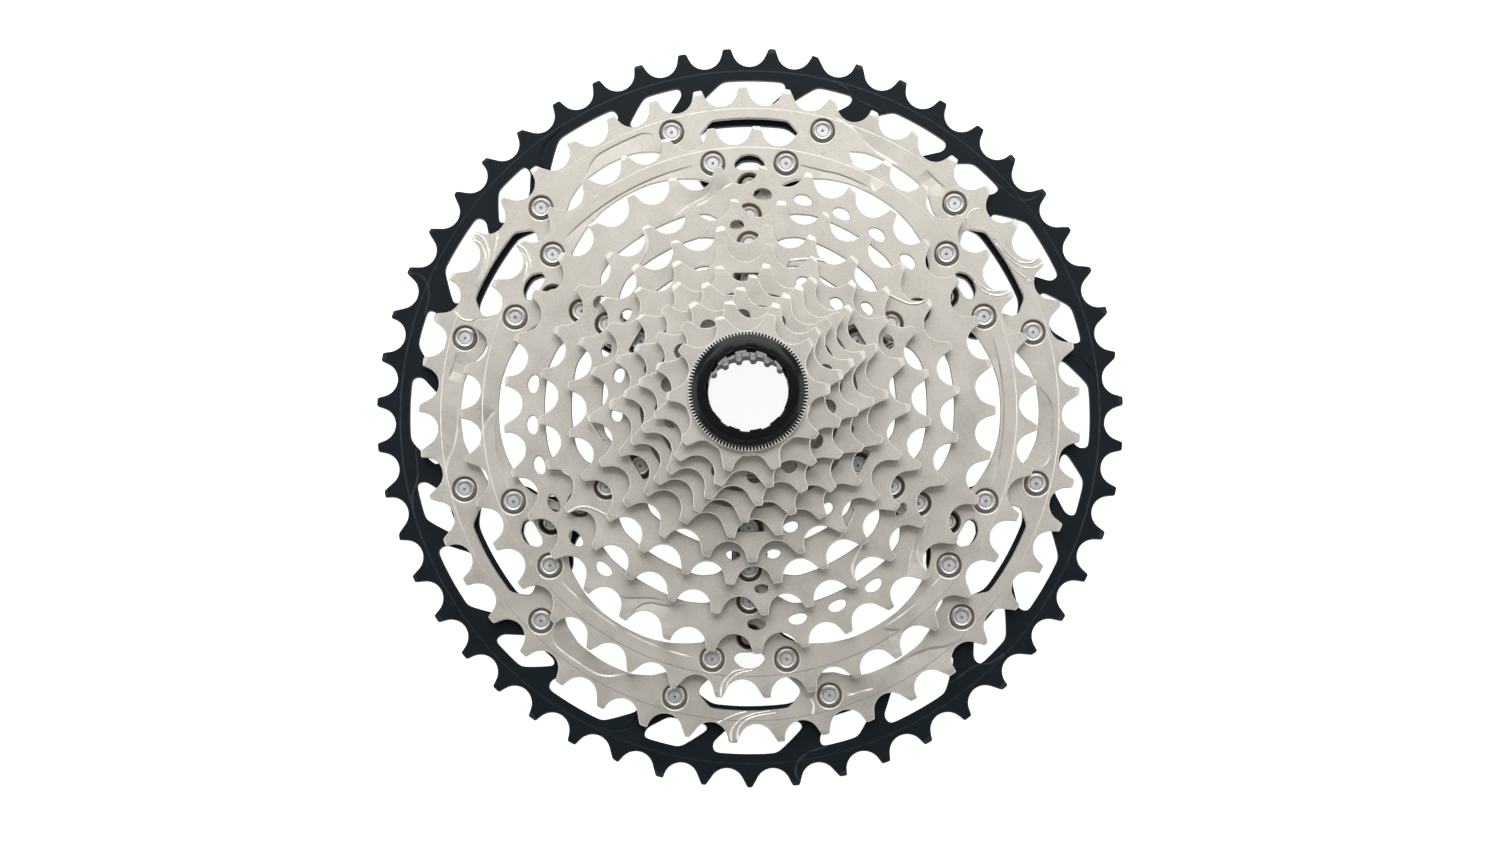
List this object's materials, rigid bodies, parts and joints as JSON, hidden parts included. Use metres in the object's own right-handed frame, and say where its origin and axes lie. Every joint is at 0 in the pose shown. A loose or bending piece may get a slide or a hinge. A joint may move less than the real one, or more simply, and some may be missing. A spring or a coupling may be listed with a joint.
{
  "type": "bicycle cassette sprocket",
  "caption": "Wide-range bicycle cassette: stacked toothed sprockets on riveted carriers, a splined bore, and a threaded lock ring with a serrated washer.",
  "frame": {"origin": "on the axis, in the plane of the largest sprocket's back face, which the cassette lies on", "axes": "+Z along the axis from the largest sprocket to the lock ring; +X towards the gap between two carrier arms; +Y towards an arm"},
  "size_m": [0.2092, 0.2091, 0.0464],
  "materials": {
    "sprocket_black": "satin black anodised, machined and bead blasted",
    "sprocket_silver": "satin nickel-plated, bead blasted",
    "carrier_black": "satin black anodised",
    "carrier_grey": "satin dark grey anodised",
    "rivet_steel": "coined steel",
    "washer_steel": "stamped serrated steel",
    "lock_ring_black": "satin black anodised"
  },
  "bodies": {
    "large_cluster": {"carrier_large": "carrier_black", "sprocket_51t": "sprocket_black", "sprocket_45t": "sprocket_silver", "sprocket_39t": "sprocket_silver", "outer_rivet_01": "rivet_steel", "outer_rivet_02": "rivet_steel", "outer_rivet_03": "rivet_steel", "outer_rivet_04": "rivet_steel", "outer_rivet_05": "rivet_steel", "outer_rivet_06": "rivet_steel", "outer_rivet_07": "rivet_steel", "outer_rivet_08": "rivet_steel", "outer_rivet_09": "rivet_steel", "outer_rivet_10": "rivet_steel", "outer_rivet_11": "rivet_steel", "outer_rivet_12": "rivet_steel", "pair_rivet_01": "rivet_steel", "pair_rivet_02": "rivet_steel", "pair_rivet_03": "rivet_steel", "pair_rivet_04": "rivet_steel", "pair_rivet_05": "rivet_steel", "pair_rivet_06": "rivet_steel", "pair_rivet_07": "rivet_steel", "pair_rivet_08": "rivet_steel", "pair_rivet_09": "rivet_steel", "pair_rivet_10": "rivet_steel", "pair_rivet_11": "rivet_steel", "pair_rivet_12": "rivet_steel", "large_arm_rivet_01": "rivet_steel", "large_arm_rivet_02": "rivet_steel", "large_arm_rivet_03": "rivet_steel", "large_arm_rivet_04": "rivet_steel", "large_arm_rivet_05": "rivet_steel", "large_arm_rivet_06": "rivet_steel"},
    "middle_cluster": {"carrier_middle": "carrier_grey", "sprocket_33t": "sprocket_silver", "sprocket_28t": "sprocket_silver", "middle_arm_rivet_01": "rivet_steel", "middle_arm_rivet_02": "rivet_steel", "middle_arm_rivet_03": "rivet_steel", "middle_arm_rivet_04": "rivet_steel", "middle_arm_rivet_05": "rivet_steel", "middle_arm_rivet_06": "rivet_steel"},
    "small_cluster": {"carrier_small": "carrier_grey", "sprocket_24t": "sprocket_silver", "sprocket_21t": "sprocket_silver"},
    "cog_18": {"sprocket_18t": "sprocket_silver"},
    "spacer_a": {"spacer_18_16": "carrier_grey"},
    "cog_16": {"sprocket_16t": "sprocket_silver"},
    "spacer_b": {"spacer_16_14": "carrier_grey"},
    "cog_14": {"sprocket_14t": "sprocket_silver"},
    "cog_12": {"sprocket_12t": "sprocket_silver"},
    "cog_10": {"sprocket_10t": "sprocket_silver"},
    "washer": {"lock_washer": "washer_steel"},
    "ring": {"lock_ring": "lock_ring_black"}
  },
  "joints": [
    {"name": "middle_cluster_slide", "type": "slide", "parent": "large_cluster", "child": "middle_cluster", "axis": [0, 0, 1], "range_m": [0, 0.01]},
    {"name": "small_cluster_slide", "type": "slide", "parent": "middle_cluster", "child": "small_cluster", "axis": [0, 0, 1], "range_m": [0, 0.01]},
    {"name": "cog_18_slide", "type": "slide", "parent": "small_cluster", "child": "cog_18", "axis": [0, 0, 1], "range_m": [0, 0.01]},
    {"name": "spacer_a_slide", "type": "slide", "parent": "cog_18", "child": "spacer_a", "axis": [0, 0, 1], "range_m": [0, 0.01]},
    {"name": "cog_16_slide", "type": "slide", "parent": "spacer_a", "child": "cog_16", "axis": [0, 0, 1], "range_m": [0, 0.01]},
    {"name": "spacer_b_slide", "type": "slide", "parent": "cog_16", "child": "spacer_b", "axis": [0, 0, 1], "range_m": [0, 0.01]},
    {"name": "cog_14_slide", "type": "slide", "parent": "spacer_b", "child": "cog_14", "axis": [0, 0, 1], "range_m": [0, 0.01]},
    {"name": "cog_12_slide", "type": "slide", "parent": "cog_14", "child": "cog_12", "axis": [0, 0, 1], "range_m": [0, 0.01]},
    {"name": "cog_10_slide", "type": "slide", "parent": "cog_12", "child": "cog_10", "axis": [0, 0, 1], "range_m": [0, 0.01]},
    {"name": "washer_lift", "type": "slide", "parent": "cog_10", "child": "washer", "axis": [0, 0, 1], "range_m": [0, 0.0041]},
    {"name": "lock_ring_spin", "type": "hinge", "parent": "washer", "child": "ring", "pos_m": [0, 0, 0.0449], "axis": [0, 0, 1], "range_deg": [0, 1440]}
  ],
  "couplings": [
    {"joint": "washer_lift", "follows": "lock_ring_spin", "m_per_rad": 0.00015915}
  ]
}
